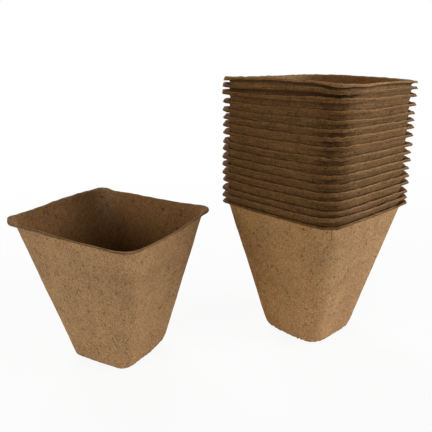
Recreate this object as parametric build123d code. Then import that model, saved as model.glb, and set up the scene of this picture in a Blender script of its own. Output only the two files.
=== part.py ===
"""Square moulded-fibre plant pots: a stack of nested pots, and one pot standing beside it.

Millimetres, +Z up. The origin is the middle of the stack's base, on the surface that the pots stand on,
and X and Y run along the sides of the stack. Each pot is one solid, moulded in one piece.
"""
from build123d import *
import math
import os

# One pot
rim_width = 80.0                # over the lip, side to side
pot_height = 80.0
base_width = 38.5               # between the faces of the wall, carried down to the base
wall = 0.75
floor_thickness = 1.0
corner_radius = 7.5             # of the upright corners, outside
lip_reach = 1.8                 # from the wall's outer face to the edge of the lip
lip_thickness = 0.9
lip_corner_radius = 7.0         # less than the wall's plus the reach, so the lip is widest at the corners
lip_bend_height = 1.4           # of the bevel between wall and lip
foot_radius = 2.0               # of the rounded edge between wall and base
drain_hole_diameter = 6.0

# The stack, counted from the pot that stands on the surface
seat_clearance = 0.09           # between two nested walls, square to them
# How much further than its closest seat each pot stops above the one below it
seat_slack_shares = (
    0.07, 0.01, 0.34, 0.15, 0.21, 0.19, 0.20, 0.11, 0.44, 0.21, 0.07, 0.06, 0.23, 0.31, 0.0, 0.0,
)

# The pot beside the stack
standing_gap = 8.8              # along X, from the stack's lips to the nearest corner of its own
standing_offset = 57.0          # along Y, between the middles of the two bases
standing_turn_deg = 17.0        # of its sides against those of the stack

# How far cutting solids run past the faces that they cut
overrun = 2.0

wall_top_width = rim_width - 2 * lip_reach
flare = (wall_top_width - base_width) / (2 * pot_height)
taper = math.atan(flare)
wall_across = wall / math.cos(taper)


def half_width(height):
    """Half the outer width of the wall at a height."""
    return base_width / 2 + flare * height


def tapered_square(low, high, inset, radius):
    """Rounded square block between two heights, its sides set in from the wall's outer faces."""
    half_low = half_width(low) - inset
    half_high = half_width(high) - inset
    side = Polyline((-half_low, low), (half_low, low), (half_high, high), (-half_high, high), close=True)
    bar = extrude(Plane.XZ * make_face(side), rim_width, both=True)
    block = bar & Rot(0, 0, 90) * bar
    return fillet(block.edges().filter_by(Plane.XY, reverse=True), radius)


def rounded_square(outline, centre):
    """Block with a rounded-square plan and a shaped edge.

    The outline gives (distance from the middle, height) from the lowest point of the edge to the highest.
    It runs along the four sides and turns about the four corner centres.
    """
    low, high = outline[0][1], outline[-1][1]
    side = [*outline, *((-reach, height) for reach, height in reversed(outline))]
    bar = extrude(Plane.XZ * make_face(Polyline(*side, close=True)), centre, both=True)
    turned = [(0, low), *((reach - centre, height) for reach, height in outline), (0, high)]
    corner = revolve(Plane.XZ * make_face(Polyline(*turned, close=True)), Axis.Z)
    block = bar + Rot(0, 0, 90) * bar
    for spot in GridLocations(2 * centre, 2 * centre, 2, 2):
        block += spot * corner
    return block


def foot_block():
    """Block that cuts the edge between wall and base back to two bevels, tangent to the radius."""
    turn = math.pi / 2 - taper
    run = foot_radius * math.tan(turn / 2)
    flat = half_width(0) - run
    middle = (flat + foot_radius * math.sin(turn / 2), foot_radius * (1 - math.cos(turn / 2)))
    upper = (half_width(0) + run * math.sin(taper), run * math.cos(taper))
    beyond = tuple(2 * top - mid for top, mid in zip(upper, middle))
    outline = [(flat, 0), middle, beyond, (rim_width, pot_height)]
    return rounded_square(outline, half_width(0) - corner_radius)


def lip_bend():
    """Bevel that carries the wall out into the underside of the lip."""
    top = pot_height - lip_thickness
    low = top - lip_bend_height
    outline = [(half_width(low) - wall / 2, low), (rim_width / 2 - lip_thickness / 2, top)]
    return rounded_square(outline, half_width(top) - corner_radius)


def mouth_bend():
    """Bevel that carries the inner face of the wall out into the top of the lip."""
    depth = lip_thickness
    inner = half_width(pot_height) - wall_across
    start = (inner - depth * flare - overrun, pot_height - depth - overrun)
    end = (inner + depth + overrun, pot_height + overrun)
    return rounded_square([start, end], half_width(pot_height) - corner_radius)


def make_pot(foot=False, bend=False, mouth=False):
    """One pot at the origin, with the edges that show worked: its foot, the bend under its lip, its mouth.

    The edges that never show in the stack stay square, and only a pot whose floor shows has its drain hole.
    """
    body = tapered_square(0, pot_height, 0, corner_radius)
    if foot:
        body &= foot_block()
    plate = extrude(RectangleRounded(rim_width, rim_width, lip_corner_radius), lip_thickness)
    body += Pos(0, 0, pot_height - lip_thickness) * plate
    if bend:
        body += lip_bend()
    cavity = tapered_square(floor_thickness, pot_height + overrun, wall_across, corner_radius - wall)
    if mouth:
        cavity += mouth_bend()
    body -= cavity
    if foot or mouth:
        body -= extrude(Circle(drain_hole_diameter / 2), floor_thickness + overrun, both=True)
    return body


def write(pot, name, place):
    """Put a pot in its place and write it."""
    export_step(place * pot, f"parts/{name}.step")


os.makedirs("parts", exist_ok=True)
closest_seat = (wall + seat_clearance) / math.sin(taper)
seat_spacings = [closest_seat * (1 + share) for share in seat_slack_shares]
pots_in_stack = len(seat_spacings) + 1
bottom_pot = make_pot(foot=True, bend=True)
top_pot = make_pot(bend=True, mouth=True)
nested_pots = [make_pot()] * (pots_in_stack - 2)
for number, pot in enumerate([bottom_pot, *nested_pots, top_pot], start=1):
    write(pot, f"stack_pot_{number:02d}", Pos(0, 0, sum(seat_spacings[:number - 1])))

turn = math.radians(standing_turn_deg)
corner_reach = rim_width / 2 * (math.cos(turn) + math.sin(turn))
spot = Pos(-(rim_width / 2 + standing_gap + corner_reach), standing_offset, 0)
standing_pot = make_pot(foot=True, bend=True, mouth=True)
write(standing_pot, "standing_pot", spot * Rot(0, 0, standing_turn_deg))

stack_height = pot_height + sum(seat_spacings)
print("closest seat spacing", round(closest_seat, 3), "stack height", round(stack_height, 2))
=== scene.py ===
"""Looks of the peat pots: a nested stack of square moulded-fibre pots, and a loose pot standing beside it.

Metres, +Z up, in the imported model's frame: the origin is the middle of the stack's base. Every pot is one
sheet of pressed fibre, swept round a rounded square from its drain hole to its lip, and then warped as the
real ones are.
"""

import math

import bpy
import numpy as np
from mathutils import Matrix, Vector


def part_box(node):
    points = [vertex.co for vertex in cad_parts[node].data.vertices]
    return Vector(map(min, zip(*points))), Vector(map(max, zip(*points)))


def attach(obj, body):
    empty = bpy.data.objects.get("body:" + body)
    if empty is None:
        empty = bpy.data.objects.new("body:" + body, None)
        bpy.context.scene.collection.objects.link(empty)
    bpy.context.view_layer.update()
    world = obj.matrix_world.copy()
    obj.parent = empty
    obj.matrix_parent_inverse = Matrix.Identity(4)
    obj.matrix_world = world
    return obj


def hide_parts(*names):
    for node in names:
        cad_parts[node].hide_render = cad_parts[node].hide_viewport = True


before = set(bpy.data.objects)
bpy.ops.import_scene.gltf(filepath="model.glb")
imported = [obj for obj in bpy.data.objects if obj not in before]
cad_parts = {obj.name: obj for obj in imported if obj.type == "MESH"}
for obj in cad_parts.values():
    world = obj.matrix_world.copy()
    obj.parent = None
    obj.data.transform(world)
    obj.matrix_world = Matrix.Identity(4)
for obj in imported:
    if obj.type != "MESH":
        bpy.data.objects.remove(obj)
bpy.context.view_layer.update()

MM = 0.001

# The corners of a pot, as places along its rim, counted round from the one furthest from the camera.
# Place 1.5 is the middle of the side from LEFT to FRONT, and so on.
BACK, LEFT, FRONT, RIGHT = range(4)
CORNERS = 4
corner_share = 0.2              # of a side's run of places that its corner takes

# The sides of a pot's sheet, with the face of the lip's edge between them
OUTER, EDGE, INNER = 1, 0, -1

# One pot, in millimetres
lowest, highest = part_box("stack_pot_01")
pot_height = (highest[2] - lowest[2]) / MM
rim_width = (highest[0] - lowest[0]) / MM
base_width = 38.5               # between the faces of the wall, carried down to the base
wall = 0.75
floor_thickness = 1.0
base_corner_radius = 7.0
rim_corner_radius = 11.0
foot_radius = 2.4
lip_reach = 1.8                 # from the wall's outer face to the edge of the lip
lip_turn_deg = 80.0             # from the wall to the lip
lip_bend_radius = 1.2
lip_edge = 1.7                  # usual thickness
edge_bluntness = 0.6            # power of the lip's edge, 1 for a round one
edge_length_share = 0.6         # of half its thickness, how far the edge reaches past the middle line's end
lip_corner_radius = 8.0         # less than the wall's, so the lip is widest at the corners
drain_hole_radius = 3.0
standing_turn_deg = 17.0        # of the loose pot's sides against those of the stack

flare = (rim_width - 2 * lip_reach - base_width) / (2 * pot_height)
taper = math.atan(flare)
wall_across = wall / math.cos(taper)
lip_turn = math.radians(lip_turn_deg)
lip_out = lip_reach + (wall_across - lip_edge * edge_length_share) / 2
lip_run = (lip_out - lip_bend_radius * (1 - math.cos(lip_turn))) / math.sin(lip_turn)
lip_start = pot_height - lip_edge / 2 - lip_bend_radius * math.sin(lip_turn) - lip_run * math.cos(lip_turn)
pots_in_stack = sum(node.startswith("stack_pot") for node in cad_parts)

# Where a pot is warped and rough, with lengths in millimetres
lip_lead = 0.3                  # how far below the lip's start its own warping begins
foot_heights = (7.0, 0.5)       # the foot's lift grows down the wall
foot_insets = (7.0, 3.0)        # and out along the floor, from this far inside the wall
frayed_depths = (1.2, 0.5)      # below the rim
hang_facing = (-0.5, 0.5)       # how far down the lip's edge faces where it comes to hang with the underside
surface_grain = ((1.3, 0.04), (4.0, 0.07), (14.0, 0.16))    # size and height of its bumps
edge_grain = ((0.9, 0.06), (2.6, 0.10))

# Seeds of a pot's waves, added to its number. The loose pot counts as number 50.
reach_seed, ripple_seed, foot_seed, crease_seed = 100, 200, 300, 600
standing_number = 50

# Waves of a pot's rim, foot and creases: fewest and most per round, and their height
slow_waves, ripple_waves, front_waves = (3, 9, 0.07), (24, 60, 0.05), (20, 50, 0.12)
nested_reach_waves, nested_foot_waves = (9, 30, 0.13), (12, 40, 0.25)
open_lift_waves, open_reach_waves = (20, 60, 0.045), (12, 40, 0.08)
standing_foot_waves = (12, 40, 0.18)
crease_waves = (8, 40, 0.3)

# Where the tones of a pot change, most of them painted light and shade: heights in millimetres, and places
# along its rim
# Painted shade on the rims, with a painted highlight on their upper edges: how far down it reaches
dark_rim_depth = 8               # of the rims in the stack
standing_dark_rim_depth = 1.3
# Painted light on the inside near its rim, where light reaches it
pale_inner_heights = (50, 72)
pale_inner_places = (0, 0.15, 1.5, 2.5, 3.85, 4)    # back, left twice, right twice and back again
# Painted shade deep inside, and in the crease under the lip
deep_heights = (70, 20)
deep_share = 0.6                # how much darker than its rim the inside is at its floor
crease_depths = (1.2, 0.4)      # below the start of the lip
# The side from LEFT to FRONT, which gets painted shade tinted like light bounced off the loose pot
damp_start = (0.9, 1.1)
damp_end = (2.1, 1.9)
rim_damp_end = (2.3, 2.05)
damp_fade_places = (1.1, 1.6)
damp_fade = 0.35                # how much weaker the painted shade is past them
fibre_shift = np.array([37.0, 61.0, 83.0])          # of the fibre's pattern from one pot to the next


def soft_step(share):
    """Share from 0 to 1, with its two ends softened."""
    return share * share * (3 - 2 * share)


def smooth(value, start, end):
    """0 before start, 1 after end, and a soft step between."""
    return soft_step(np.clip((value - start) / (end - start), 0, 1))


def grain(points, size, seed):
    """Smooth noise from -1 to 1 at points in millimetres, from random values on a grid of that spacing."""
    cells = 64
    lattice = np.random.default_rng(seed).uniform(-1, 1, (cells, cells, cells))
    spot = points / size
    first = np.floor(spot).astype(int)
    blend = soft_step(spot - first)
    first %= cells
    second = (first + 1) % cells
    total = 0
    for picks in np.ndindex(2, 2, 2):
        corner = [(second if pick else first)[..., axis] for axis, pick in enumerate(picks)]
        share = [blend[..., axis] if pick else 1 - blend[..., axis] for axis, pick in enumerate(picks)]
        total = total + lattice[corner[0], corner[1], corner[2]] * share[0] * share[1] * share[2]
    return total


def bumps(points, grains, seed):
    """Sum of grains of several sizes and heights, each with the next seed."""
    return sum(grain(points, size, seed + step) * height for step, (size, height) in enumerate(grains))


def waves(places, seed, slowest, fastest, height=1):
    """Closed random wave of about a height along the rim, with the given numbers of waves per round."""
    rng = np.random.default_rng(seed)
    total = 0
    for count in range(slowest, fastest + 1):
        total = total + rng.normal() * np.sin(math.tau * (count * places / CORNERS + rng.random()))
    return total / math.sqrt((fastest - slowest + 1) / 2) * height


def along_rim(marks, places):
    """Closed soft curve through given (place, value) marks."""
    soften, samples = 0.03, 7
    marks = sorted((place % CORNERS, value) for place, value in marks)
    spots = [place for place, value in marks]
    values = [value for place, value in marks]
    shifts = np.linspace(-soften, soften, samples)
    return sum(np.interp(places + shift, spots, values, period=CORNERS) for shift in shifts) / samples


def near_corner(places, width, corner=None):
    """1 at each corner, or at one of them, falling softly to 0 at a width from it, in places."""
    turns = 1 if corner is None else CORNERS
    offset = (places - (corner or 0) + turns / 2) % turns - turns / 2
    return smooth(np.abs(offset), width, 0.0)


def swells(places, marks):
    """Sum of soft swells at the corners: (corner, or None for all four, width in places, value)."""
    return sum(near_corner(places, width, corner) * value for corner, width, value in marks)


def on_damp_side(places):
    """1 along the side from LEFT to FRONT, where painted shade falls."""
    return smooth(places, *damp_start) * smooth(places, *rim_damp_end)


def everywhere(height):
    """1 at every height."""
    return np.ones_like(height)


def in_lip(height):
    """1 in the lip and 0 below it."""
    half_step = 0.6
    return smooth(height, lip_start - half_step, lip_start + half_step)


def by_side(side, outer, edge, inner):
    """The value for each row's side of the sheet, to be spread along the rim."""
    return np.where(side == OUTER, outer, np.where(side == EDGE, edge, inner))[:, None]


def outline(side_points, corner_points):
    """Rounded-square outline: each point's corner-centre weights, its outward direction and its place."""
    weights, directions, places = [], [], []
    signs = [(1, 1), (-1, 1), (-1, -1), (1, -1)]
    for corner in range(CORNERS):
        here, there = np.array(signs[corner]), np.array(signs[(corner + 1) % CORNERS])
        for step in range(corner_points):
            share = step / corner_points
            angle = math.pi / 2 * (corner + share)
            weights.append(here)
            directions.append((math.cos(angle), math.sin(angle)))
            places.append(corner + (share - 0.5) * corner_share)
        angle = math.pi / 2 * (corner + 1)
        for step in range(side_points):
            share = step / side_points
            weights.append(here * (1 - share) + there * share)
            directions.append((math.cos(angle), math.sin(angle)))
            places.append(corner + corner_share / 2 + share * (1 - corner_share))
    return np.array(weights, float), np.array(directions), np.array(places)


def wall_line(height):
    """Distance of the wall's middle line from the pot's middle."""
    return base_width / 2 + flare * height - wall_across / 2


def sheet_line(floor_steps, bend_steps, wall_shares, lip_steps, edge):
    """Middle line of the sheet, from the drain hole along the floor, up the wall and out over the lip.

    Each row holds the distance from the pot's middle, the height, the outward direction square to the sheet
    (two numbers), the distance of the corner centres and the sheet's thickness.
    """
    bend = foot_radius - wall / 2
    foot_height = floor_thickness / 2 + bend
    foot = wall_line(foot_height) - bend / math.cos(taper)
    line = [(distance, floor_thickness / 2, 0, floor_thickness)
            for distance in np.linspace(drain_hole_radius, foot, floor_steps, endpoint=False)]
    for share in np.linspace(0, 1, bend_steps):
        angle = -math.pi / 2 + (math.pi / 2 - taper) * share
        thick = floor_thickness + (wall - floor_thickness) * share
        line.append((foot + bend * math.cos(angle), foot_height + bend * math.sin(angle), 0, thick))
    foot_end = foot_height - bend * math.sin(taper)
    for height in foot_end + (lip_start - foot_end) * wall_shares:
        line.append((wall_line(height), height, 0, wall))
    lip_length = lip_bend_radius * lip_turn + lip_run
    for gone in np.linspace(0, lip_length, lip_steps + 1)[1:]:
        turn = min(gone / lip_bend_radius, lip_turn)
        run = max(gone - lip_bend_radius * lip_turn, 0)
        height = lip_start + lip_bend_radius * math.sin(turn) + run * math.cos(lip_turn)
        out = lip_bend_radius * (1 - math.cos(turn)) + run * math.sin(lip_turn)
        line.append((wall_line(height) + out, height, out, wall + (edge - wall) * gone / lip_length))
    distance, height, out, thick = np.array(line).T
    along = np.column_stack([np.gradient(distance), np.gradient(height)])
    along /= np.linalg.norm(along, axis=1, keepdims=True)
    radius = base_corner_radius + (rim_corner_radius - base_corner_radius) * height / pot_height
    radius -= (rim_corner_radius - lip_corner_radius) * out / lip_out
    centre = base_width / 2 + flare * height - radius + out
    return np.column_stack([distance, height, along[:, 1], -along[:, 0], centre, thick])


def wrap_sheet(line, cap_steps):
    """Closed section of the sheet: out along its outer side, round the lip's edge, back along its inner side.

    Each row holds the distance from the middle, height, direction square to the surface (two numbers), corner
    centre and the side.
    """
    def side(sign):
        half = line[:, 5] / 2 * sign
        facing = line[:, 2:4] * sign
        middle = line[:, :2] + line[:, 2:4] * half[:, None]
        return np.column_stack([middle, facing, line[:, 4], np.full(len(line), sign)])

    end, across, centre, thick = line[-1, :2], line[-1, 2:4], line[-1, 4], line[-1, 5]
    along = np.array([-across[1], across[0]])
    cap = []
    for share in np.linspace(0, 1, cap_steps + 2)[1:-1]:
        angle = math.pi * share
        facing = across * math.cos(angle) + along * math.sin(angle)
        blunt = across * np.sign(math.cos(angle)) * abs(math.cos(angle)) ** edge_bluntness
        blunt = blunt + along * math.sin(angle) ** edge_bluntness * edge_length_share
        middle = end + blunt * thick / 2
        cap.append((*middle, *facing, centre, EDGE))
    return np.vstack([side(OUTER), cap, side(INNER)[::-1]])


def sweep(rows, weights, directions):
    """Points and outward directions of the section swept round the outline, in the pot's own frame."""
    distance, height, away, up, centre = rows[:, :5].T
    plan = centre[:, None, None] * weights + (distance - centre)[:, None, None] * directions
    floor_reach = base_width / 2 - foot_radius
    on_floor = (distance < floor_reach) & (height < 2 * floor_thickness)
    square = (base_width / 2 - base_corner_radius) * weights + (base_corner_radius - foot_radius) * directions
    radial = square / np.linalg.norm(square, axis=1, keepdims=True)
    square_share = smooth(distance, drain_hole_radius, floor_reach)[:, None, None]
    floor_plan = distance[:, None, None] * (square_share * square / floor_reach + (1 - square_share) * radial)
    plan = np.where(on_floor[:, None, None], floor_plan, plan)
    column = plan.shape[:2] + (1,)
    tall = np.broadcast_to(height[:, None, None], column)
    facing_out = away[:, None, None] * directions
    facing_up = np.broadcast_to(up[:, None, None], column)
    return np.concatenate([plan, tall], axis=2), np.concatenate([facing_out, facing_up], axis=2)


def add_values(mesh, name, values):
    """Stores a number or a vector per point of the mesh, for its material."""
    kind, field = ("FLOAT_VECTOR", "vector") if values.ndim == 3 else ("FLOAT", "value")
    mesh.attributes.new(name, kind, "POINT").data.foreach_set(field, values.astype(np.float32).ravel())


def add_tones(mesh, points, rows, places, form):
    """Stores what the material reads at each point: its place on the unwarped pot and its tones of painted
    light and shade.
    """
    height, side = rows[:, 1], rows[:, 5]
    # Painted shade inside, paled by painted light near the rim where light reaches it
    left, right, back = form["pale_inner"]
    pale = np.interp(places % CORNERS, pale_inner_places, (back, left, left, right, right, back))
    inner = by_side(side, 0, 0, 1) * (1 - pale * smooth(height, *pale_inner_heights)[:, None])
    # Painted shade deep inside and in the crease under the lip
    deep = by_side(side, 0, 0, deep_share * smooth(height, *deep_heights))
    crease_start, crease_end = (lip_start - depth for depth in crease_depths)
    crease = by_side(side, smooth(height, crease_start, crease_end), 0, 0) * form["crease"](places)
    # Painted shade on the side from LEFT to FRONT, tinted like light bounced off the loose pot
    damp = smooth(places, *damp_start) * smooth(places, *damp_end)
    damp = damp * (1 - damp_fade * smooth(places, *damp_fade_places)) * form["damp"]
    add_values(mesh, "pot_place", points)
    add_values(mesh, "fibre_place", points + form["seed"] * fibre_shift)
    add_values(mesh, "rim_tone", form["rim_tone"](rows, places))
    add_values(mesh, "inner_painted_shade", inner)
    add_values(mesh, "deep_painted_shade", np.maximum(deep, crease))
    add_values(mesh, "damp_tone", np.ones(len(rows))[:, None] * damp)


def build_pot(node, body, line, form, side_points, corner_points, turn=0):
    """Mesh of one pot: the sheet swept round its outline, warped by its form and put where its node is."""
    rows = wrap_sheet(line, cap_steps=5)
    weights, directions, places = outline(side_points, corner_points)
    flat_points, normals = sweep(rows, weights, directions)
    points = form["warp"](flat_points, normals, rows, places, directions)
    low_corner, high_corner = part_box(node)
    middle = (Vector(low_corner) + Vector(high_corner)) / 2 / MM
    rotation = np.array([
        [math.cos(turn), math.sin(turn), 0],
        [-math.sin(turn), math.cos(turn), 0],
        [0, 0, 1],
    ])
    placed = points @ rotation + np.array([middle.x, middle.y, low_corner[2] / MM])
    index = np.arange(len(rows) * len(places)).reshape(len(rows), len(places))
    next_place = np.roll(index, -1, axis=1)
    next_row = np.roll(index, -1, axis=0)
    next_both = np.roll(next_row, -1, axis=1)
    faces = np.stack([index, next_place, next_both, next_row], axis=-1).reshape(-1, 4)
    name = f"fibre_{node}"
    mesh = bpy.data.meshes.new(name)
    mesh.from_pydata((placed.reshape(-1, 3) * MM).tolist(), [], faces.tolist())
    mesh.shade_smooth()
    add_tones(mesh, flat_points, rows, places, form)
    piece = bpy.data.objects.new(name, mesh)
    bpy.context.scene.collection.objects.link(piece)
    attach(piece, body)
    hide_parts(node)
    return piece


def make_form(seed, lift, reach, foot_lift, depth, outside, inside, rim_tone, damp=1.0,
              pale_inner=(0, 0, 0), crease=np.zeros_like, thin=(), hang=()):
    """What sets one pot apart: how its rim is warped, how rough its two sides are and the painted shade of
    its rim.

    lift, reach and foot_lift give millimetres from places along the rim. lift slides the wall along its own
    slant, most at the rim and fading out over the depth, reach pushes the lip out, and foot_lift raises the
    edge of the base. thin and hang are swells of the lip: thin takes from each side of it, and hang lowers
    its underside. outside and inside give the roughness of the two sides from the height. pale_inner is how
    much painted light pales the inside near its rim towards the left, right and back, damp how strong the
    painted shade is on the side from LEFT to FRONT, and crease how dark the painted shade is under its lip.
    """
    def warp(points, normals, rows, places, directions):
        distance, height, up, side = rows[:, 0], rows[:, 1], rows[:, 3], rows[:, 5]
        rim_share = smooth(height, pot_height - depth, pot_height)[:, None]
        lip_share = smooth(height, lip_start - lip_lead, pot_height)[:, None]
        foot_start, foot_end = (base_width / 2 - inset for inset in foot_insets)
        foot_share = (smooth(height, *foot_heights) * smooth(distance, foot_start, foot_end))[:, None]
        lifted = rim_share * lift(places)
        points = points.copy()
        points[..., 2] += lifted + foot_share * foot_lift(places)
        under_share = by_side(side, 1, smooth(-up, *hang_facing), 0)
        points[..., 2] -= lip_share * under_share * swells(places, hang)
        points[..., :2] += (lifted * flare + lip_share * reach(places))[..., None] * directions
        rough = by_side(side, outside(height), 1, inside(height))
        frayed_start, frayed_end = (pot_height - below for below in frayed_depths)
        frayed = smooth(height, frayed_start, frayed_end)[:, None]
        relief = bumps(points, surface_grain, seed) * rough
        relief = relief + bumps(points, edge_grain, seed + len(surface_grain)) * frayed
        points += normals * (relief - lip_share * swells(places, thin))[..., None]
        points[..., 2] = np.maximum(points[..., 2], 0)
        return points
    return {
        "seed": seed, "warp": warp, "rim_tone": rim_tone, "damp": damp, "pale_inner": pale_inner,
        "crease": crease,
    }


def dark_from(start, pale_edge, inner, under=0.4, face_tone=0.95, damp_pale=0.4):
    """Painted shade of the rim above a height: its upper edge paler by a share as a painted highlight, its
    inside at another tone.

    It is darkest on the edge's face, and paler by another share where it faces down under the lip, as painted
    light in the lip's shade. The side from LEFT to FRONT is darker with painted shade.
    """
    # Painted light and shade: paler off the edge's face, paler on the lit side, painted shadow in the gaps at
    # the front corner, and painted light on the inside of the side tips
    wall_paler, lit_side_paler, front_darker, tips_paler = 0.15, 0.2, 0.12, 0.85
    front_width, tip_width = 0.2, 0.25
    under_facing, upper_facing = (0.3, 0.95), (0.35, 0.8)
    fade_height = 0.8

    def tone(rows, places):
        height, up, side = rows[:, 1], rows[:, 3], rows[:, 5]
        lit_side = 1 - on_damp_side(places)
        off_edge = face_tone - wall_paler - under * smooth(-up, *under_facing)
        face = by_side(side, off_edge, face_tone, off_edge) - lit_side_paler * lit_side
        upper_edge = by_side(side, 0, pale_edge * smooth(up, *upper_facing), 0)
        pale = upper_edge * (damp_pale + (1 - damp_pale) * lit_side)
        outer = (face + front_darker * near_corner(places, front_width, FRONT)) * (1 - pale)
        tips = near_corner(places, tip_width, LEFT) + near_corner(places, tip_width, RIGHT)
        upper = inner * (1 - tips_paler * tips)
        dark_rim = smooth(height, start, start + fade_height)[:, None]
        return dark_rim * np.where(side[:, None] == INNER, upper, outer)
    return tone


def rough_foot(number):
    """Lift of the base's edge: most at the corners, and uneven between them."""
    corner_lift, corner_width = 0.9, 0.3

    def lift(places):
        uneven = np.abs(waves(places, number + foot_seed, *nested_foot_waves))
        return near_corner(places, corner_width) * corner_lift + uneven
    return lift


# How far the pots of the stack are warped, by their numbers in it
warp_numbers = (1, 2, 9, 12, 13, 14, 15, 16)
front_lifts = (0.7, 1.1, 0.8, 0.55, 0.6, 0.7, 1.45, 1.1)
shoulder_lifts = (0.35, 0.5, 0.4, 0.5, 0.95, 0.95, 1.75, 2.55)
left_lifts = (0.0, 0.1, 0.1, 0.1, 0.2, 0.3, 0.6, 1.9)
right_lifts = (0.0, 0.0, 0.0, -0.2, -0.35, -0.5, -0.05, 0.3)
stack_lifts = (front_lifts, shoulder_lifts, left_lifts, right_lifts)
# How far the lips of all the stack's pots reach at two corners, against their usual reach
left_tips = (
    -1.0, -1.0, -0.9, -2.0, -1.3, -0.7, -1.2, -1.3, -1.3, -1.5, -1.8, -1.9, -0.8, -1.2, -0.4, -0.8, -2.1,
)
right_tips = (
    -0.5, -1.1, -1.2, -0.7, -1.2, -2.4, -1.3, -2.1, -0.7, -0.9, -0.9, -1.4, -2.3, -1.3, -1.8, -1.8, -1.6,
)
# How dark the painted shade is under the nested pots' lips: painted shadow in the gaps at the front corner,
# and along the side from LEFT to FRONT by their numbers
front_shadow_pots = (7, 9, 10, 11, 12, 13, 16)
front_shadow_tone, weak_front_shadow_tone = 0.75, 0.25
gap_tones = {15: 0.6, 16: 0.95}
closed_tone = 0.15
# The rims tilt up to LEFT, and the last two of the nested pots are loose
tilting_pots = 3                # above the lowest one, until the rims tilt in full
first_loose_pot = pots_in_stack - 2


def nested_form(number):
    """Form of a pot in the stack, of which only the rim shows."""
    tilt = min(number - 1, tilting_pots) / tilting_pots
    front, shoulder, left, right = (np.interp(number, warp_numbers, lifts) for lifts in stack_lifts)
    marks = [
        (BACK, -0.2), (LEFT, 1.3 * tilt), (1.2, 0.5 * tilt), (1.4, left), (1.7, (left + shoulder) / 2),
        (1.85, shoulder), (FRONT, front), (2.12, front * 0.8), (2.4, right), (2.7, right),
        (RIGHT, -0.4 * tilt),
    ]
    tip_width = 0.14
    tips = [
        (BACK, tip_width, -1.0), (LEFT, tip_width, left_tips[number - 1]),
        (FRONT, tip_width, -0.8), (RIGHT, tip_width, right_tips[number - 1]),
    ]
    left_thin, left_hang = (0.15, 0) if number < first_loose_pot else (-0.2, 0.5)
    thin = [(None, 0.12, 0.14), (LEFT, 0.16, left_thin)]
    hang = [(LEFT, 0.2, left_hang)]
    front_width, front_shadow_width, usual_front_shadow = 0.3, 0.2, 0.7
    tone = front_shadow_tone if number in front_shadow_pots else weak_front_shadow_tone
    gap_tone = gap_tones.get(number, closed_tone)

    def lift(places):
        slow = waves(places, number, *slow_waves)
        ripple = waves(places, number + ripple_seed, *ripple_waves)
        at_front = near_corner(places, front_width, FRONT) * waves(places, number, *front_waves)
        return along_rim(marks, places) + (slow + ripple) + at_front

    def reach(places):
        return swells(places, tips) + waves(places, number + reach_seed, *nested_reach_waves)

    # Painted shade under the lip: painted shadow in the gaps at the front corner, and on the side from LEFT
    # to FRONT
    def crease(places):
        uneven = usual_front_shadow + waves(places, number + crease_seed, *crease_waves)
        front_shadow = tone * near_corner(places, front_shadow_width, FRONT) * uneven
        return np.clip(front_shadow + gap_tone * on_damp_side(places), 0, 1)

    rim_tone = dark_from(pot_height - dark_rim_depth, pale_edge=0.95, inner=1.0)
    return make_form(
        number, lift, reach, rough_foot(number), depth=4.2, outside=in_lip, inside=in_lip, rim_tone=rim_tone,
        pale_inner=(0.8, 0.9, 0), crease=crease, thin=thin, hang=hang,
    )


def open_form(number, lift_marks, reach_marks, **rest):
    """Form of a pot that shows more than its rim, with listed marks."""
    def lift(places):
        return along_rim(lift_marks, places) + waves(places, number, *open_lift_waves)

    def reach(places):
        return along_rim(reach_marks, places) + waves(places, number + reach_seed, *open_reach_waves)

    return make_form(number, lift, reach, **rest)


# The lowest pot of the stack
bottom_lift = [
    (BACK, 0.0), (LEFT, 0.2), (1.5, 0.0), (1.85, 0.3), (FRONT, 0.7), (2.15, 0.4), (2.5, 0.0), (RIGHT, 0.3),
]
bottom_reach = [
    (BACK, -0.5), (0.2, 0.0), (0.8, 0.0), (LEFT, left_tips[0]), (1.2, 0.0), (1.8, 0.0), (FRONT, -0.5),
    (2.2, 0.0), (2.8, 0.0), (RIGHT, right_tips[0]), (3.2, 0.0), (3.8, 0.0),
]
bottom_rim = dark_from(lip_start, pale_edge=0.5, inner=1.0, under=-0.15)
bottom_form = open_form(
    1, bottom_lift, bottom_reach, foot_lift=rough_foot(1), depth=12, outside=everywhere, inside=in_lip,
    rim_tone=bottom_rim, thin=[(LEFT, 0.16, 0.25)],
)

# The top pot of the stack
top_lift = [
    (BACK, -0.3), (0.3, -0.3), (0.6, 0.15), (LEFT, 0.9), (1.2, 1.45), (1.4, 2.0), (1.5, 2.3), (1.6, 2.1),
    (1.7, 1.8), (1.8, 2.0), (1.87, 1.6), (1.93, 1.15), (FRONT, 0.65), (2.04, 0.4), (2.1, 0.5), (2.2, 0.15),
    (2.26, -0.25), (2.35, 0.0), (2.5, 0.2), (2.7, 0.05), (2.88, -0.5), (RIGHT, -1.1), (3.3, -0.15),
    (3.6, 0.15),
]
top_reach = [
    (BACK, -0.5), (0.2, 0.0), (0.8, 0.0), (LEFT, left_tips[-1]), (1.15, 0.0), (1.8, 0.0), (FRONT, -0.3),
    (2.2, 0.0), (2.85, 0.0), (RIGHT, right_tips[-1]), (3.2, 0.0), (3.8, 0.0),
]


def top_crease(places):
    """Painted shade in the bend under the top lip: dark all round, and in full on the side from LEFT to
    FRONT.
    """
    lit_side_tone = 0.85
    return lit_side_tone + (1 - lit_side_tone) * on_damp_side(places)


top_rim = dark_from(pot_height - dark_rim_depth, pale_edge=1.0, inner=0.2, face_tone=0.6, damp_pale=0.9)
top_form = open_form(
    pots_in_stack, top_lift, top_reach, foot_lift=rough_foot(pots_in_stack), depth=9, outside=in_lip,
    inside=everywhere, rim_tone=top_rim, pale_inner=(1, 0, 0.5), crease=top_crease,
    thin=[(LEFT, 0.16, -0.3), (FRONT, 0.18, -0.45)], hang=[(LEFT, 0.2, 1.3), (FRONT, 0.15, 0.5)],
)

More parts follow.
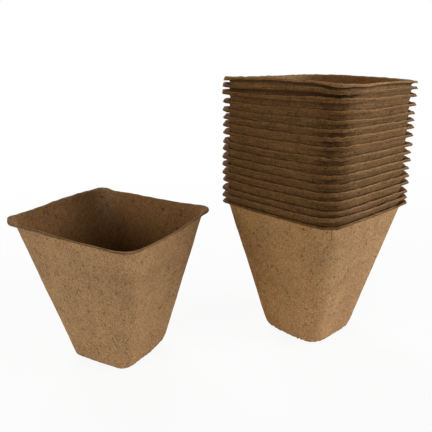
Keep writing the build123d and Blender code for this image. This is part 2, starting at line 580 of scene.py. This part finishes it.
# The loose pot, whose rim and foot have sagged and torn
standing_lift = [
    (BACK, 1.5), (0.1, 1.8), (0.3, 2.3), (0.5, 2.1), (0.7, 1.5), (0.85, 1.2), (0.93, 1.5), (LEFT, 0.7),
    (1.05, 0.5), (1.12, 0.0), (1.3, -0.5), (1.43, -1.5), (1.6, -2.0), (1.75, -2.3), (1.88, -2.7),
    (FRONT, -3.1), (2.14, -4.6), (2.28, -5.1), (2.43, -5.0), (2.6, -4.6), (2.74, -3.0), (2.86, -1.4),
    (RIGHT, -0.6), (3.12, -0.6), (3.3, -1.1), (3.5, -0.7), (3.7, -0.3), (3.93, -0.2), (3.96, 1.2),
]
standing_reach = [
    (BACK, -0.3), (0.2, 0.0), (0.8, 0.2), (0.93, 0.8), (LEFT, -0.4), (1.08, 0.0), (1.3, -0.6), (1.8, -0.9),
    (FRONT, -0.8), (2.2, -0.8), (2.7, -0.6), (2.88, 0.4), (RIGHT, -0.2), (3.15, 0.3), (3.8, 0.0),
]
standing_foot_lift = [
    (BACK, 0.8), (0.5, 0.2), (LEFT, 0.0), (1.5, 0.0), (1.9, 0.0), (FRONT, 0.2), (2.15, 0.4), (2.6, 0.2),
    (2.85, 1.3), (RIGHT, 1.6), (3.3, 0.4),
]


def standing_foot(places):
    """Lift of the edge of the loose pot's base."""
    uneven = np.abs(waves(places, standing_number + foot_seed, *standing_foot_waves))
    return along_rim(standing_foot_lift, places) + uneven


standing_rim = dark_from(pot_height - standing_dark_rim_depth, pale_edge=0.5, inner=0.05)
standing_form = open_form(
    standing_number, standing_lift, standing_reach, foot_lift=standing_foot, depth=60, outside=everywhere,
    inside=everywhere, rim_tone=standing_rim, damp=0.0, pale_inner=(0.3, 0.15, 1.0),
)

# Steps along the sheet and points round its outline, for pots that show whole and for those that show a rim
whole_steps = {"floor_steps": 12, "bend_steps": 7, "wall_shares": np.linspace(0, 1, 84), "lip_steps": 10}
whole_points = {"side_points": 64, "corner_points": 16}
rim_wall_shares = np.array([0, 0.25, 0.5, 0.7, 0.82, 0.9, 0.935, 0.95, 0.965, 0.98, 1.0])
rim_steps = {"floor_steps": 4, "bend_steps": 4, "wall_shares": rim_wall_shares, "lip_steps": 9}
rim_points = {"side_points": 52, "corner_points": 13}

# Thickness of each pot's lip at its edge, by its number
edge_seed = 500
thinnest_edge, thickest_edge, top_edge = 1.3, 1.9, 1.2
edges = np.random.default_rng(edge_seed).uniform(thinnest_edge, thickest_edge, pots_in_stack + 1)
edges[1] = thinnest_edge
edges[pots_in_stack] = top_edge
standing_edge = 0.9

forms = {1: bottom_form, pots_in_stack: top_form}
pieces = []
for number in range(1, pots_in_stack + 1):
    form = forms[number] if number in forms else nested_form(number)
    steps, points = (whole_steps, whole_points) if number in forms else (rim_steps, rim_points)
    line = sheet_line(edge=edges[number], **steps)
    pieces.append(build_pot(f"stack_pot_{number:02d}", f"stack_{number:02d}", line, form, **points))
standing_line = sheet_line(edge=standing_edge, **whole_steps)
standing_turn = math.radians(standing_turn_deg)
pieces.append(build_pot(
    "standing_pot", "standing", standing_line, standing_form, turn=standing_turn, **whole_points,
))


noise_range = (0.3, 0.7)        # between which most of a noise's values lie


class Graph:
    """Short ways to add the nodes of a material."""

    def __init__(self, tree):
        self.tree = tree

    def add(self, kind, **settings):
        """New node with its settings."""
        node = self.tree.nodes.new(kind)
        for name, value in settings.items():
            setattr(node, name, value)
        return node

    def feed(self, socket, value):
        """Links an output to a socket, or sets the socket's own value."""
        if isinstance(value, bpy.types.NodeSocket):
            self.tree.links.new(value, socket)
        else:
            socket.default_value = value

    def stored(self, name, output="Fac"):
        """Value stored on the mesh under a name."""
        return self.add("ShaderNodeAttribute", attribute_name=name).outputs[output]

    def maths(self, operation, *values):
        """Result of a Math node."""
        node = self.add("ShaderNodeMath", operation=operation)
        for socket, value in zip(node.inputs, values):
            self.feed(socket, value)
        return node.outputs[0]

    def vectors(self, operation, *values):
        """Vector Math node, with None for an input that is fed later."""
        node = self.add("ShaderNodeVectorMath", operation=operation)
        for socket, value in zip(node.inputs, values):
            if value is not None:
                self.feed(socket, value)
        return node

    def spread(self, value, old_range, new_range=(0, 1)):
        """Maps a range of a value to another range, without going past its ends."""
        node = self.add("ShaderNodeMapRange")
        names = ("Value", "From Min", "From Max", "To Min", "To Max")
        for name, setting in zip(names, (value, *old_range, *new_range)):
            self.feed(node.inputs[name], setting)
        return node.outputs["Result"]

    def noise(self, place, size, detail=2.0, shift=0.0, stretch=(1, 1, 1), roughness=0.5):
        """Noise with features of a size in millimetres, shifted to differ from others of its size."""
        spot = self.add("ShaderNodeVectorMath", operation="MULTIPLY_ADD")
        self.feed(spot.inputs[0], place)
        spot.inputs[1].default_value = [1 / (size * axis) for axis in stretch]
        spot.inputs[2].default_value = [shift] * 3
        node = self.add("ShaderNodeTexNoise")
        self.feed(node.inputs["Vector"], spot.outputs[0])
        node.inputs["Scale"].default_value = 1
        node.inputs["Detail"].default_value = detail
        node.inputs["Roughness"].default_value = roughness
        return node.outputs["Fac"]

    def line_of(self, noise, width):
        """1 on the line where a noise passes its middle value, falling to 0 at a width from it."""
        off = self.maths("ABSOLUTE", self.maths("SUBTRACT", noise, 0.5))
        return self.spread(off, (width * 0.3, width), (1, 0))

    def stroke(self, pot_spot, fibre_spot, start, end, half_width):
        """1 on an uneven stroke between two points of a pot's own frame, falling softly to 0 at its edge."""
        run = Vector(end) - Vector(start)
        offset = self.vectors("SUBTRACT", pot_spot, start)
        along = self.vectors("DOT_PRODUCT", offset.outputs[0], run / run.length_squared)
        nearest = self.vectors("SCALE", run, None)
        self.feed(nearest.inputs["Scale"], self.spread(along.outputs["Value"], (0, 1)))
        across = self.vectors("SUBTRACT", offset.outputs[0], nearest.outputs[0])
        gap = self.vectors("LENGTH", across.outputs[0]).outputs["Value"]
        swing = half_width * 0.5
        uneven = self.spread(self.noise(fibre_spot, size=1.1), noise_range, (-swing, swing))
        return self.spread(self.maths("ADD", gap, uneven), (swing, half_width), (1, 0))

    def tint(self, blend, share, first, second):
        """Mixes two colours by a share."""
        node = self.add("ShaderNodeMix", data_type="RGBA", blend_type=blend)
        self.feed(node.inputs["Factor"], share)
        first_colour, second_colour = (socket for socket in node.inputs if socket.type == "RGBA")
        self.feed(first_colour, first)
        self.feed(second_colour, second)
        return next(socket for socket in node.outputs if socket.type == "RGBA")

    def shade(self, colour, layers):
        """Multiplies a colour by those of (share, colour) layers, one after the other."""
        for share, layer in layers:
            colour = self.tint("MULTIPLY", share, colour, layer)
        return colour

    def cover(self, colour, layers):
        """Covers a colour by those of (share, strength, colour) layers, one after the other."""
        for share, strength, layer in layers:
            colour = self.tint("MIX", self.maths("MULTIPLY", share, strength), colour, layer)
        return colour


# Colours of the fibre
warm_brown, cool_brown = (0.303, 0.174, 0.081), (0.299, 0.178, 0.084)
dark_speck, pale_speck = (0.075, 0.042, 0.02, 1), (0.5, 0.39, 0.26, 1)
dark_mark, pale_mark = (0.06, 0.035, 0.016, 1), (0.5, 0.38, 0.24, 1)
# What the fibre's colour is multiplied by: cracks, dashes, painted shade on the rim and on the side from LEFT
# to FRONT, streaks, blotches, and painted shade inside and deep inside
crack_shade, dash_shade = (0.5, 0.44, 0.38, 1), (0.6, 0.54, 0.48, 1)
rim_painted_shade_colour, damp_shade = (0.42, 0.35, 0.235, 1), (0.83, 0.76, 0.59, 1)
streak_shade, blotch_shade = (0.5, 0.45, 0.38, 1), (0.68, 0.62, 0.55, 1)
inner_painted_shade_colour, deep_painted_shade_colour = (0.68, 0.55, 0.38, 1), (0.30, 0.25, 0.19, 1)

# Hairline cracks: size, width of the line, shift, stretch, and the noise value from which they show
crack_kinds = (
    (5.0, 0.014, 41, (1, 1, 1), 0.60),
    (3.0, 0.020, 53, (1, 1, 2.4), 0.59),
    (2.2, 0.030, 67, (1, 1, 1), 0.58),
)


def hairlines(graph, place):
    """1 on the hairline cracks of the pulp, which come and go."""
    cracks = 0
    for size, width, shift, stretch, start in crack_kinds:
        line = graph.line_of(graph.noise(place, size, detail=1, shift=shift, stretch=stretch), width)
        patches = graph.noise(place, size * 1.1, detail=1, shift=shift + 5)
        crack = graph.maths("MULTIPLY", line, graph.spread(patches, (start, start + 0.05)))
        cracks = crack if cracks == 0 else graph.maths("MAXIMUM", cracks, crack)
    return cracks


def pulp(name, paleness, marks=()):
    """Pressed wood and peat fibre: mottled brown, with fibres, hairline cracks and dark and pale specks, and
    painted light and shade.

    The paleness is 1 for the loose pot. The marks are blemishes and painted shade at set spots of one pot:
    (start, end, half width, colour, share), in millimetres.
    """
    material = bpy.data.materials.new(name)
    material.use_nodes = True
    graph = Graph(material.node_tree)
    shader = material.node_tree.nodes["Principled BSDF"]
    shader.inputs["Roughness"].default_value = 0.95
    shader.inputs["Specular IOR Level"].default_value = 0.15
    place = graph.stored("fibre_place", "Vector")
    pot_spot = graph.stored("pot_place", "Vector")
    rim = graph.stored("rim_tone")

    # Brightness, from broad to fine, and painted bounce light from the floor making it paler towards the foot
    broad = graph.noise(place, size=24)
    patches = graph.noise(place, size=6, detail=3, shift=7)
    mottle = graph.noise(place, size=1.5, detail=3, shift=13, roughness=0.6)
    fuzz = graph.noise(place, size=0.8, detail=3, shift=23, roughness=0.7)
    felt = graph.noise(place, size=0.45, shift=29, roughness=0.6)
    tone = graph.spread(broad, noise_range, (0.92, 1.08))
    for noise, swing in ((patches, 0.07), (mottle, 0.11), (fuzz, 0.23), (felt, 0.46)):
        tone = graph.maths("MULTIPLY", tone, graph.spread(noise, noise_range, (1 - swing, 1 + swing)))
    axes = graph.add("ShaderNodeSeparateXYZ")
    graph.feed(axes.inputs[0], pot_spot)
    # Painted bounce light from the floor, paler towards the foot
    lower_wall, painted_foot_bounce = (5, 60), (1.13, 0.99)
    tone = graph.maths("MULTIPLY", tone, graph.spread(axes.outputs["Z"], lower_wall, painted_foot_bounce))

    # Colour, with what is pressed into the pulp
    warmth = graph.spread(graph.noise(place, size=9, shift=131), (0.35, 0.65))
    browns = [(*(channel * paleness for channel in brown), 1) for brown in (warm_brown, cool_brown)]
    grey = graph.add("ShaderNodeCombineColor")
    for socket in grey.inputs:
        graph.feed(socket, tone)
    cracks = hairlines(graph, place)
    dashes = graph.noise(place, size=0.85, detail=1, shift=37, stretch=(1, 1, 2.4))
    dash_share = graph.spread(dashes, (0.60, 0.67), (0, 0.5))
    dark_specks = graph.spread(graph.noise(place, size=1.0, detail=0, shift=79), (0.8, 0.85))
    pale_specks = graph.spread(graph.noise(place, size=1.2, detail=0, shift=97), (0.82, 0.86))
    colour = graph.tint("MIX", warmth, *browns)
    colour = graph.shade(colour, [(1.0, grey.outputs[0]), (cracks, crack_shade), (dash_share, dash_shade)])
    colour = graph.cover(colour, [(dark_specks, 0.6, dark_speck), (pale_specks, 0.5, pale_speck)])
    for start, end, half_width, mark_colour, mark_share in marks:
        inside = graph.stroke(pot_spot, place, start, end, half_width)
        colour = graph.cover(colour, [(inside, mark_share, mark_colour)])

    # Painted shade on the rim, with streaks along its layers and blotches, and painted shade on the side from
    # LEFT to FRONT, the inside and deep inside
    streaks = graph.noise(place, size=1.0, detail=3, shift=151, stretch=(9, 9, 0.45), roughness=0.65)
    streak_share = graph.maths("MULTIPLY", graph.spread(streaks, (0.42, 0.62), (0, 0.75)), rim)
    blotches = graph.noise(place, size=3.2, shift=171, roughness=0.6)
    blotch_share = graph.maths("MULTIPLY", graph.spread(blotches, (0.54, 0.64), (0, 0.6)), rim)
    colour = graph.shade(colour, [
        (rim, rim_painted_shade_colour), (streak_share, streak_shade), (blotch_share, blotch_shade),
        (graph.stored("damp_tone"), damp_shade), (graph.stored("inner_painted_shade"), inner_painted_shade_colour),
        (graph.stored("deep_painted_shade"), deep_painted_shade_colour),
    ])
    graph.feed(shader.inputs["Base Color"], colour)

    # Bump: the felt and the mottle stand up, the cracks and streaks are cut in
    relief = graph.maths("MULTIPLY", felt, 0.10)
    reliefs = (("ADD", mottle, 0.2), ("SUBTRACT", cracks, 0.12), ("SUBTRACT", streak_share, 0.15))
    for operation, layer, height in reliefs:
        relief = graph.maths(operation, relief, graph.maths("MULTIPLY", layer, height))
    bump = graph.add("ShaderNodeBump")
    bump.inputs["Distance"].default_value = MM
    graph.feed(bump.inputs["Height"], relief)
    graph.feed(shader.inputs["Normal"], bump.outputs["Normal"])
    return material


# Blemishes of the two pots that show whole, and a broad faint painted shade down the loose pot's front corner
bottom_marks = [
    ((-37.2, -20.9, 75.6), (-37.2, -22.1, 75.6), 0.75, dark_mark, 0.75),
    ((-33.0, -35.3, 77.0), (-30.9, -35.0, 71.4), 0.4, dark_mark, 0.6),
    ((-25.6, 16.8, 26.9), (-25.1, 13.2, 24.7), 0.4, dark_mark, 0.6),
    ((-28.1, -24.9, 42.8), (-27.6, -28.0, 47.7), 0.35, dark_mark, 0.5),
    ((-24.5, -22.5, 32.0), (-24.0, -22.9, 27.0), 0.35, dark_mark, 0.5),
    ((-7.2, -23.8, 19.2), (-6.8, -23.5, 17.6), 0.6, dark_mark, 0.6),
    ((-7.3, -30.7, 48.4), (-7.0, -30.3, 46.8), 0.6, dark_mark, 0.55),
    ((-26.3, -16.3, 29.8), (-26.2, -16.9, 29.4), 0.6, dark_mark, 0.5),
]
standing_marks = [
    ((-24.5, -15.6, 22.3), (-23.0, -17.3, 16.8), 0.4, dark_mark, 0.65),
    ((-20.6, -23.5, 22.6), (-21.7, -20.8, 18.4), 0.4, dark_mark, 0.6),
    ((-20.1, -15.4, 5.0), (-17.2, -19.0, 4.5), 0.4, dark_mark, 0.55),
    ((-30.6, 18.0, 48.4), (-30.4, 16.2, 46.4), 0.35, dark_mark, 0.5),
    ((-21.6, -26.8, 34.6), (-21.4, -26.7, 33.6), 0.5, dark_mark, 0.5),
    ((36.3, -19.6, 76.0), (35.5, -20.0, 72.8), 0.4, dark_mark, 0.85),
    # Broad faint painted shade down the front corner
    ((-30.0, -32.0, 60.0), (-25.0, -28.0, 40.0), 5.0, dark_mark, 0.13),
    ((-23.0, 13.4, 16.2), (-23.0, 12.6, 15.8), 0.6, pale_mark, 0.7),
    ((-26.6, -16.4, 31.1), (-26.6, -17.0, 30.9), 0.6, pale_mark, 0.6),
]
stack_paleness, standing_paleness = 1.12, 1.0
fibre = pulp("moulded_fibre", stack_paleness)
bottom_fibre = pulp("moulded_fibre_bottom", stack_paleness, bottom_marks)
standing_fibre = pulp("moulded_fibre_standing", standing_paleness, standing_marks)
own_fibre = {"fibre_stack_pot_01": bottom_fibre, "fibre_standing_pot": standing_fibre}
for piece in pieces:
    piece.data.materials.append(own_fibre.get(piece.name, fibre))

# Camera, worked out from the outlines of both pots in the photograph
photo_width = 432               # pixels
focal_pixels = 550
camera_place = Vector((-0.251, -0.182, 0.165))
camera_heading = math.radians(46.4)
camera_dip = math.radians(17.3)
camera_data = bpy.data.cameras.new("camera")
camera_data.sensor_width = 36
camera_data.lens = focal_pixels / photo_width * camera_data.sensor_width
camera_data.clip_start = 0.01
camera = bpy.data.objects.new("camera", camera_data)
camera.location = camera_place
level = math.cos(camera_dip)
aim = Vector((math.cos(camera_heading) * level, math.sin(camera_heading) * level, -math.sin(camera_dip)))
camera.rotation_euler = aim.to_track_quat("-Z", "Y").to_euler()
bpy.context.scene.collection.objects.link(camera)
bpy.context.scene.camera = camera


def seen_share(graph):
    """1 for the rays that see the background, straight or in gloss or glass, and 0 for those that light."""
    path = graph.add("ShaderNodeLightPath")
    share = path.outputs["Is Camera Ray"]
    for ray in ("Is Glossy Ray", "Is Transmission Ray"):
        share = graph.maths("MAXIMUM", share, path.outputs[ray])
    return share


# Floor: white where it is seen, with part of the object's shadow near the object
floor_size = 12
shadow_radii = (0.15, 0.6)      # from the stack, where the shadow is at its fullest, and where it has gone
white_shares = (0.91, 1.0)
bpy.ops.mesh.primitive_plane_add(size=floor_size, location=(0, 0, 0))
floor = bpy.context.object
floor.name = "floor"
floor_material = bpy.data.materials.new("floor")
floor_material.use_nodes = True
floor_graph = Graph(floor_material.node_tree)
matt = floor_material.node_tree.nodes["Principled BSDF"]
matt.inputs["Base Color"].default_value = (0.9, 0.9, 0.9, 1)
matt.inputs["Roughness"].default_value = 0.9
matt.inputs["Specular IOR Level"].default_value = 0
glow = floor_graph.add("ShaderNodeEmission")
blend = floor_graph.add("ShaderNodeMixShader")
floor_spot = floor_graph.add("ShaderNodeNewGeometry")
radius = floor_graph.vectors("LENGTH", floor_spot.outputs["Position"])
white_share = floor_graph.spread(radius.outputs["Value"], shadow_radii, white_shares)
floor_graph.feed(blend.inputs[0], floor_graph.maths("MULTIPLY", seen_share(floor_graph), white_share))
floor_graph.feed(blend.inputs[1], matt.outputs[0])
floor_graph.feed(blend.inputs[2], glow.outputs[0])
floor_graph.feed(floor_material.node_tree.nodes["Material Output"].inputs["Surface"], blend.outputs[0])
floor.data.materials.append(floor_material)

# World: dim where it lights the object, and white where it is seen
world_strengths = (0.12, 1.0)
world = bpy.data.worlds.new("world")
bpy.context.scene.world = world
world.use_nodes = True
sky_graph = Graph(world.node_tree)
background = world.node_tree.nodes["Background"]
background.inputs["Color"].default_value = (1, 1, 1, 1)
strength = sky_graph.spread(seen_share(sky_graph), (0, 1), world_strengths)
sky_graph.feed(background.inputs["Strength"], strength)

# Softboxes: azimuth from the stack's front side towards the loose pot, height in degrees, and power
softbox_target = Vector((-0.05, 0.03, 0.06))
softbox_distance = 1.3
softbox_size = 0.7
softboxes = {
    "right": (-38, 18, 9.9), "front": (-15, 15, 5.2), "left": (93, 11, 10.0), "above": (45, 80, 0.7),
    "behind": (205, 25, 12),
}
for name, (azimuth_deg, height_deg, power) in softboxes.items():
    azimuth, rise = math.radians(azimuth_deg), math.radians(height_deg)
    away = Vector((-math.sin(azimuth) * math.cos(rise), -math.cos(azimuth) * math.cos(rise), math.sin(rise)))
    lamp_data = bpy.data.lights.new(name, "AREA")
    lamp_data.shape = "SQUARE"
    lamp_data.size = softbox_size
    lamp_data.energy = power
    lamp = bpy.data.objects.new(name, lamp_data)
    lamp.location = softbox_target + away * softbox_distance
    lamp.rotation_euler = (-away).to_track_quat("-Z", "Y").to_euler()
    lamp.visible_camera = False
    bpy.context.scene.collection.objects.link(lamp)

bpy.context.scene.view_settings.view_transform = "Standard"
